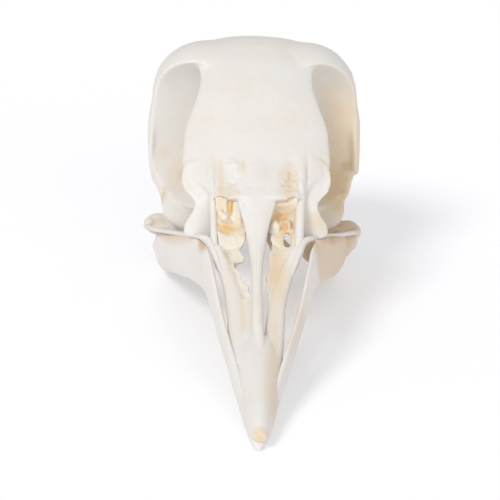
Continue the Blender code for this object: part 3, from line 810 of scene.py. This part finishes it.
STRIP_RIGHT = [
    (-3.6, 18.7, -0.8, 0.5, 0.45, 0),
    (-2.7, 20.4, -2.7, 0.65, 0.4, 0),
    (-1.9, 23.0, -5.3, 0.8, 0.45, 0),
    (-1.5, 26.0, -8.1, 0.95, 0.6, 0),
    (-1.2, 28.8, -10.4, 0.8, 0.8, 0),
]
STRIP_LEFT = [
    (3.6, 18.7, -0.8, 0.5, 0.45, 0),
    (2.68, 20.4, -2.7, 0.62, 0.4, 0),
    (1.82, 23.0, -5.3, 0.75, 0.45, 0),
    (1.45, 26.0, -8.1, 0.88, 0.6, 0),
    (1.2, 28.8, -10.4, 0.8, 0.8, 0),
]
# fills the corner between the ridge bar and the right strip
WEB = [
    (-0.9, 23.0, -5.0, 0.45, 0.28, 0),
    (-0.95, 25.0, -7.0, 0.5, 0.4, 0),
    (-0.9, 27.0, -8.8, 0.6, 0.6, 0),
]
# edges of a shelf: (x_outer, x_inner, f, h)
RIGHT_SHELF = [
    (-3.3, -0.85, 18.4, 0.2),
    (-3.3, -1.5, 19.2, -0.8),
    (-3.1, -0.95, 20.0, -1.7),
    (-2.9, -1.95, 20.2, -1.9),
    (-2.7, -1.65, 20.9, -2.55),
    (-2.5, -1.28, 21.3, -2.97),
    (-2.3, -1.15, 21.9, -3.5),
    (-2.2, -0.6, 22.3, -3.9),
    (-2.1, -0.85, 22.7, -4.3),
    (-2.0, -0.4, 23.2, -4.8),
    (-1.8, -0.4, 26.0, -7.7),
]
LEFT_SHELF = [
    (3.35, 1.35, 18.8, -0.3),
    (3.3, 1.3, 19.2, -0.7),
    (3.1, 1.05, 19.9, -1.5),
    (2.9, 1.05, 20.6, -2.3),
    (2.6, 0.8, 21.4, -3.1),
    (2.4, 0.88, 22.2, -3.9),
    (2.1, 0.88, 23.0, -4.8),
    (1.9, 1.1, 24.0, -5.9),
    (1.8, 1.1, 25.6, -7.5),
    (1.6, 1.0, 26.6, -8.4),
]
bill = melted(
    "bill",
    [
        bar(BILL_TIP, power=1.9),
        bar(TIP_CREST),
        bar(RIDGE_BAR),
        bar(STRIP_LEFT),
        bar(STRIP_RIGHT),
        bar(WEB),
        shelf(RIGHT_SHELF),
        shelf(LEFT_SHELF),
    ],
    cell=0.11,
    rounds=4,
)
OVAL_HOLE = ((2.72, 18.1, -0.08), (0.33, 2.4, 0.62))
OVAL_POWER = 2.4
hollowed(bill, [ball(*OVAL_HOLE, power=OVAL_POWER)])


def bill_relief(p):
    """Lengthwise grain, a faint groove down the ridge bar, and small pits over the tip."""
    along = p * (3.0, 0.55, 0.55)
    groove = 0.05 * np.exp(-((p[:, 0] / 0.12) ** 2)) * np.clip((27.0 - p[:, 1]) / 3.0, 0, 1)
    tip = np.clip((p[:, 1] - 30.0) / 4.0, 0, 1)
    pits = 0.05 * tip * np.clip(grain(p, 0.4, 42) - 0.35, 0, 1)
    return 0.022 * grain(along, 1.0, 43) + 0.02 * grain(p, 1.6, 44) - groove - pits


relief(bill, bill_relief)
bill_finish = bone_finish(
    "bill_bone",
    CROWN_BONE,
    TAN_BONE,
    # the stains at x 1.4 to 1.7 paint tan shade on the bill's left side, which is turned from the
    # lamp
    stains_and_shade=[
        (1.7, 20.8, -2.6, 1.3, 5.0, 5.0, 1.2),
        (-1.8, 20.2, -1.8, 1.2, 3.4, 2.6, 0.5),
        (-1.2, 24.0, -6.0, 0.35, 4.0, 3.6, 0.7),
        (1.5, 31.5, -11.6, 1.2, 7.0, 5.0, 0.9),
        (1.4, 25.5, -7.6, 0.6, 4.0, 3.0, 0.8),
        (0.2, 36.4, -15.2, 0.9, 1.2, 1.0, 1.3),
    ],
    # painted shade in the nostrils
    shade_and_glow_spots=[(2.6, 18.4, -0.2, 0.7, 1.2, 0.9, 0.5), (-2.6, 19.6, -1.2, 0.5, 1.2, 0.7, 0.35)],
)
dressed(bill, bill_finish, "bone", "upper_bill")

# ------------------------------------------------------------------ nasal bars
# A slender, slightly flattened strut on each side of the nostrils, from the forehead down to the
# strip of the upper jaw. It is fused at both ends, and the left one is a little stouter.

for side, word in SIDES:
    strut = [
        (4.0, 14.2, 6.1, 0.22, 0.22, 0),
        (3.95, 15.3, 4.8, 0.33 + side * 0.03, 0.42, 0),
        (3.88, 16.1, 3.1, 0.37 + side * 0.05, 0.45, 0),
        (3.78, 17.2, 1.2, 0.37 + side * 0.05, 0.45, 0),
        (3.65, 18.6, -0.9, 0.4 + side * 0.04, 0.42, 0),
        (3.25, 19.8, -2.3, 0.36, 0.36, 0),
        (2.9, 20.6, -3.1, 0.2, 0.2, 0),
    ]
    strut_bar = bar(on_side(strut, side))
    nasal_bar = melted(f"nasal_bar_piece_{word}", [strut_bar], cell=0.11, rounds=3)
    relief(nasal_bar, lambda p: 0.02 * grain(p * (1, 0.4, 0.4), 0.6, 51))
    dressed(nasal_bar, bill_finish, "bone", f"nasal_bar_{word}")

# ------------------------------------------------------------------ linings of the nostrils
# Remains of the thin, spongy walls of the nose: a crumpled sheet on each side, from under the
# forehead down to the shelf of the palate. The right one has a narrow sunk slit, painted orange for
# light glowing through it and for shade, and a pale knob; the left one a sunk arch painted brown
# with shade, and an oval hole.

# edges of each sheet: (x_outer, x_inner, f, h)
NOSE_WALLS = {
    "right": [
        (-3.75, -0.55, 15.95, 4.2),
        (-3.7, -0.65, 16.5, 3.6),
        (-3.65, -0.75, 16.65, 2.8),
        (-3.6, -0.8, 16.7, 2.0),
        (-3.55, -0.8, 17.05, 1.2),
        (-3.5, -0.85, 17.7, 0.6),
        (-3.4, -0.95, 18.45, 0.0),
        (-3.3, -1.4, 19.0, -0.95),
    ],
    "left": [
        (3.75, 0.55, 15.95, 4.2),
        (3.7, 0.7, 16.5, 3.6),
        (3.65, 0.9, 16.5, 2.8),
        (3.6, 1.05, 16.3, 2.0),
        (3.55, 1.15, 16.55, 1.2),
        (3.5, 1.2, 17.3, 0.6),
        (3.4, 1.3, 18.25, 0.0),
        (3.3, 1.35, 19.0, -1.0),
    ],
}
# lumps: (x, f, h, rx, rf, rh)
NOSE_KNOBS = {
    "right": [
        (-2.85, 17.0, 1.75, 0.42, 0.45, 0.42),
        (-3.2, 16.8, 2.15, 0.25, 0.4, 0.4),
        (-2.4, 16.8, 1.35, 0.3, 0.4, 0.22),
        (-1.5, 16.7, 1.3, 0.4, 0.4, 1.1),
    ],
    "left": [
        (1.65, 17.0, 0.9, 0.5, 0.5, 0.8),
        (2.9, 16.8, 1.2, 0.14, 0.6, 0.7),
    ],
}
LINING_SAG, LINING_DROP = 0.15, 0.05


def lining_relief(p):
    """Crumpled all over; a slot is sunk into the right one and an arch into the left one."""
    slot = np.exp(-(((p[:, 0] + 2.36) / 0.24) ** 4) - ((p[:, 2] - 2.85) / 0.95) ** 4)
    arch = near(p, (2.15, 16.3, 1.75), (0.8, 2.0, 0.35))
    return 0.06 * grain(p, 0.5, 61) + 0.05 * grain(p, 0.24, 62) - 0.24 * slot - 0.2 * arch


# The orange stains and warm spots on these sheets are painted glow of light through the thin bone
# and painted shade in their folds, slit and arch; their pale base colour makes up for the shade
# under the forehead.
lining_finish = bone_finish(
    "spongy_bone",
    (0.80, 0.75, 0.65),
    (0.78, 0.61, 0.38),
    stains_and_shade=[
        (-2.6, 17.2, 0.8, 1.3, 2.0, 0.9, 1.3),
        (-3.3, 16.2, 2.8, 0.5, 2.0, 1.4, 0.8),
        (-1.3, 16.8, 1.0, 0.7, 2.0, 1.6, 0.6),
        (2.2, 16.0, 2.3, 2.0, 2.4, 2.0, 1.0),
        (2.6, 18.0, 0.0, 1.2, 2.0, 1.4, 1.0),
    ],
    shade_and_glow=(0.78, 0.48, 0.19),
    shade_and_glow_spots=[
        (-2.7, 17.2, 0.75, 0.8, 2.0, 0.55, 0.7),
        (-2.36, 16.4, 2.85, 0.34, 3.0, 1.15, 1.6),
        (2.15, 16.0, 1.9, 1.0, 2.0, 0.45, 1.0),
        (2.45, 16.8, 1.0, 0.35, 2.0, 0.7, 0.9),
        (2.75, 18.0, 0.1, 0.55, 2.0, 0.85, 0.8),
        (3.3, 17.0, 1.0, 0.3, 2.0, 0.9, 0.6),
    ],
    pores=0.5,
)
for word, edges in NOSE_WALLS.items():
    knobs = [ball(knob[:3], knob[3:], rings=16, around=24) for knob in NOSE_KNOBS[word]]
    sheet = shelf(edges, LINING_SAG, LINING_DROP)
    lining = melted(f"nose_lining_{word}", [sheet, *knobs], cell=0.09, rounds=2)
    if word == "left":
        hollowed(lining, [ball(*OVAL_HOLE, power=OVAL_POWER)])
    relief(lining, lining_relief)
    dressed(lining, lining_finish, "inner_bone")

# ------------------------------------------------------------------ cheek bars
# A needle of bone on each side, from the joint of the jaw to the side of the upper bill. It
# pushes the bill up when the bird gapes. At the joint the left one lies a little lower.

# On the skull's left side, turned from the lamp, the two stains at x 8.0 and 3.5 are painted tan
# shade, and the warm spots paint shade under the socket floor and the joint.
cheek_finish = bone_finish(
    "cheek_bone",
    CROWN_BONE,
    (0.66, 0.54, 0.39),
    stains_and_shade=[
        (8.0, 1.0, 1.0, 3.4, 3.4, 3.0, 1.4),
        (-9.5, 0.5, 0.4, 1.8, 2.6, 1.6, 0.35),
        (3.5, 6.0, 0.6, 3.5, 4.0, 2.0, 0.8),
    ],
    shade_and_glow_spots=[(6.6, 2.6, 1.0, 3.0, 3.4, 0.9, 0.5), (9.0, 0.4, -0.2, 1.2, 1.5, 0.5, 0.5)],
)
for side, word in SIDES:
    needle = [
        (10.05, -0.3, 0.25 - side * 0.15, 0.28, 0.42, 0),
        (9.9, 0.8, 0.12 - side * 0.08, 0.3, 0.28, 0),
        (8.6, 5.5, 0.06 - side * 0.04, 0.28, 0.22, 0),
        (6.6, 11.5, 0.05, 0.28, 0.21, 0),
        (4.9, 16.8, 0.05, 0.28, 0.24, 0),
        (4.2, 18.1, -0.25, 0.3, 0.34, 0),
        (3.72, 19.2, -1.2, 0.32, 0.36, 0),
        (3.25, 20.3, -2.45, 0.26, 0.3, 0),
        (2.95, 21.0, -3.2, 0.15, 0.15, 0),
    ]
    needle_bar = bar(on_side(needle, side))
    cheek_bar = melted(f"cheek_bar_{word}", [needle_bar], cell=0.11, rounds=3)
    relief(cheek_bar, lambda p: 0.025 * grain(p * (1, 0.4, 1), 0.7, 71))
    dressed(cheek_bar, cheek_finish, "bone", f"jugal_bar_{word}")

# ------------------------------------------------------------------ quadrates
# The four-armed bone on each side that hangs under the ear, carries the jaw on its foot and
# holds the end of the cheek bar in a cup, which lies a little lower on the left.

EAR_ARM = [(7.75, -0.6, 2.2, 0.7, 0.8, 0), (7.9, -2.0, 4.6, 0.7, 0.8, 0)]
SOCKET_ARM = [
    (7.4, 0.5, 2.0, 0.7, 1.4, 0),
    (6.3, 2.3, 2.2, 0.5, 1.3, 0),
    (5.2, 3.4, 2.1, 0.35, 0.9, 0),
]
for side, word in SIDES:
    hinge_bone = melted(
        f"quadrate_piece_{word}",
        [
            ball((side * 7.35, -0.2, 1.6), (1.1, 1.25, 1.5)),
            ball((side * 8.4, 0.0, 0.1), (1.6, 1.0, 0.75)),
            ball((side * 7.2, 0.9, 0.2), (0.8, 0.9, 0.8)),
            bar(on_side(EAR_ARM, side)),
            bar(on_side(SOCKET_ARM, side)),
            ball((side * 9.7, 0.0, 0.25 - side * 0.25), (0.65, 0.8, 0.7)),
            ball((side * 9.0, -0.2, 0.7 - side * 0.2), (1.0, 0.7, 0.6)),
        ],
        cell=0.11,
        rounds=5,
    )
    relief(hinge_bone, lambda p: 0.04 * grain(p, 1.1, 81) + 0.015 * grain(p, 0.4, 82))
    dressed(hinge_bone, cheek_finish, "bone", f"quadrate_{word}")

# ------------------------------------------------------------------ palate
# Two rods run from the quadrates to the midline, and two long blades from there to the bill.
# They are thin, so they look tan.

PALATE_ROD = [
    (7.0, 1.4, 0.85, 0.5, 0.65, 0),
    (4.4, 4.2, 0.6, 0.38, 0.55, 0),
    (1.9, 7.2, 0.4, 0.5, 0.5, 0),
]
PALATE_BLADE = [
    (1.2, 6.8, 0.1, 0.5, 0.45, 0),
    (2.15, 9.0, -0.6, 0.95, 0.33, 0.3),
    (2.6, 12.0, -1.2, 1.05, 0.27, 0.5),
    (2.5, 16.0, -2.2, 0.75, 0.27, 0.2),
    (2.1, 20.0, -4.3, 0.65, 0.3, 0),
    (1.6, 23.5, -6.9, 0.55, 0.32, 0),
]
for side, word in SIDES:
    rod_bar = bar(on_side(PALATE_ROD, side), sideways=(0, 1, 0))
    rod = melted(f"palate_rod_{word}", [rod_bar], cell=0.11, rounds=3)
    relief(rod, lambda p: 0.03 * grain(p, 0.8, 91))
    dressed(rod, cheek_finish, "inner_bone", f"pterygoid_{word}")
    blade_bar = bar(on_side(PALATE_BLADE, side))
    blade = melted(f"palate_blade_{word}", [blade_bar], cell=0.11, rounds=3)
    relief(blade, lambda p: 0.04 * grain(p * (1, 0.5, 1), 0.8, 92))
    dressed(blade, inner_finish, "inner_bone", f"palatine_{word}")

# ------------------------------------------------------------------ lower jaw
# Two deep, thin rami that meet at the tip, with cups for the quadrates, an inward spur at each
# joint and a heel behind it. One bone, lying a little to the bird's left.

JAW_SHIFT, JAW_BEND, JAW_TIP = 0.38, 20.0, 36.6


def jaw_shift(f):
    """How far the jaw bows to the left: JAW_SHIFT at JAW_BEND, with straight lines from there to
    nothing at its joints and its tip."""
    return JAW_SHIFT * max(min(f / JAW_BEND, (JAW_TIP - f) / (JAW_TIP - JAW_BEND)), 0.0)


RAMUS = [
    (8.15, -3.7, -3.1, 0.65, 0.95, -8),
    (8.3, -2.0, -2.6, 0.8, 1.5, -11),
    (8.5, 1.0, -2.15, 0.7, 1.85, -13),
    (8.05, 4.5, -2.0, 0.45, 1.95, -11),
    (7.35, 8.5, -1.95, 0.4, 1.9, -8),
    (6.1, 13.0, -1.95, 0.4, 2.0, -3),
    (4.95, 17.0, -2.4, 0.4, 2.05, 3),
    (4.3, 20.0, -3.7, 0.36, 1.8, 4),
    (3.35, 24.0, -7.0, 0.35, 1.3, 4),
    (1.95, 29.0, -11.1, 0.36, 1.1, 5),
    (0.9, 33.0, -14.1, 0.4, 0.9, 4),
    (0.32, 35.3, -15.6, 0.4, 0.6, 0),
    (0.12, 36.15, -16.15, 0.25, 0.3, 0),
]
JAW_SPUR = [(8.2, -0.4, -1.9, 1.1, 0.8, 0), (6.0, -0.9, -1.3, 0.5, 0.4, 0)]
CHIN = [
    (0.1, 32.0, -14.1, 0.9, 0.5, 0),
    (0.0, 34.5, -15.4, 0.65, 0.6, 0),
    (-0.05, 36.4, -16.35, 0.3, 0.35, 0),
]
JAW_CUPS = ((7.9, 0.0, -1.6), (1.6, 1.6, 1.1))
LEFT_FLANGE = ((4.95, 16.4, -1.0), (1.0, 0.35, 1.15))
LEFT_CUP_RIM = ((8.9, 0.0, -0.85), (1.15, 1.0, 1.15))

# the right ramus bows less, and the left one is pinched in towards its joint
SWAY = {1: 1.0, -1: 0.6}
PINCH = {1: 0.35, -1: 0.0}
PINCH_REACH = 9.0


def ramus_x(side, x, f):
    """Out to its side, less a pinch that fades with a straight line, plus its share of the bow."""
    return side * (x - PINCH[side] * max(1 - f / PINCH_REACH, 0)) + SWAY[side] * jaw_shift(f)


jaw_shapes = [bar(CHIN)]
for side, cup in zip((1, -1), both(*JAW_CUPS)):
    beam = [(ramus_x(side, x, f), f, *rest) for x, f, *rest in RAMUS]
    spur = bar(on_side(JAW_SPUR, side), sideways=(0, 1, 0))
    jaw_shapes += [bar(beam, leaning=side), spur, cup]
jaw_shapes += [ball(*LEFT_FLANGE), ball(*LEFT_CUP_RIM)]
jaw = melted("lower_jaw", jaw_shapes, cell=0.13, rounds=4)
relief(jaw, lambda p: 0.03 * grain(p * (1, 0.45, 1), 1.2, 101) + 0.02 * grain(p, 0.5, 102))
# Its stains on the left ramus, turned from the lamp, are painted tan shade, and the one along the
# top of the right ramus is a painted shadow of the cheek bar; the warm spots paint shade under the
# left cheek bar and at the right ramus's top front.
jaw_finish = bone_finish(
    "jaw_bone",
    (0.765, 0.735, 0.69),
    (0.70, 0.56, 0.41),
    stains_and_shade=[
        (7.0, 7.0, -1.8, 4.5, 14.0, 4.2, 2.0),
        (4.6, 16.4, -0.9, 1.6, 1.4, 1.6, 0.7),
        (5.6, 14.6, -0.6, 1.6, 4.6, 3.6, 1.8),
        (-7.2, 8.0, 0.0, 3.5, 9.0, 1.2, 1.3),
        (3.3, 24.0, -7.0, 1.4, 8.0, 5.0, 0.5),
    ],
    shade_and_glow_spots=[
        (6.6, 9.0, 0.0, 2.8, 8.0, 0.9, 0.6),
        (6.5, 11.5, -0.3, 1.0, 2.0, 0.8, 0.5),
        (-4.7, 17.4, -0.3, 0.7, 2.4, 1.3, 0.9),
    ],
)
dressed(jaw, jaw_finish, "jaw_bone", "mandible")

# ------------------------------------------------------------------ floor and light
# A plain white floor that glows a little, so that it shows as pale as paper. A broad soft lamp
# stands to the left of the view, in front and above, a weaker and broader one low in front, and
# the white room fills the shadows.

FLOOR_HALF = 2.5
FLOOR_COLOUR, FLOOR_GLOW = (0.74, 0.74, 0.76, 1.0), 0.285
FLOOR_CORNERS = ((-1, -1), (1, -1), (1, 1), (-1, 1))
floor_mesh = bpy.data.meshes.new("floor")
corners = [(x * FLOOR_HALF, y * FLOOR_HALF, 0.0) for x, y in FLOOR_CORNERS]
floor_mesh.from_pydata(corners, [], [(0, 1, 2, 3)])
floor = bpy.data.objects.new("floor", floor_mesh)
bpy.context.scene.collection.objects.link(floor)
floor_paint = bpy.data.materials.new("floor_white")
floor_paint.use_nodes = True
floor_shader = floor_paint.node_tree.nodes["Principled BSDF"]
floor_shader.inputs["Base Color"].default_value = FLOOR_COLOUR
floor_shader.inputs["Emission Color"].default_value = (1.0, 1.0, 1.0, 1.0)
floor_shader.inputs["Emission Strength"].default_value = FLOOR_GLOW
floor_shader.inputs["Roughness"].default_value = 1.0
floor_shader.inputs["Specular IOR Level"].default_value = 0.0
floor_mesh.materials.append(floor_paint)

# name, where it stands, how broad it looks, strength
LAMPS = [
    ("soft_lamp", (-0.6, -0.75, 1.0), math.radians(20.0), 1.3),
    ("fill_lamp", (0.3, -1.0, 0.4), math.radians(50.0), 0.6),
]
for name, direction, spread, strength in LAMPS:
    lamp_data = bpy.data.lights.new(name, "SUN")
    lamp_data.angle = spread
    lamp_data.energy = strength
    lamp = bpy.data.objects.new(name, lamp_data)
    lamp.rotation_euler = Vector(direction).to_track_quat("Z", "Y").to_euler()
    bpy.context.scene.collection.objects.link(lamp)

ROOM_COLOUR, ROOM_LIGHT = (0.97, 0.975, 1.0, 1.0), 0.62
room = bpy.data.worlds.new("room")
room.use_nodes = True
room_shader = room.node_tree.nodes["Background"]
room_shader.inputs["Color"].default_value = ROOM_COLOUR
room_shader.inputs["Strength"].default_value = ROOM_LIGHT
bpy.context.scene.world = room
bpy.context.scene.view_settings.view_transform = "Standard"
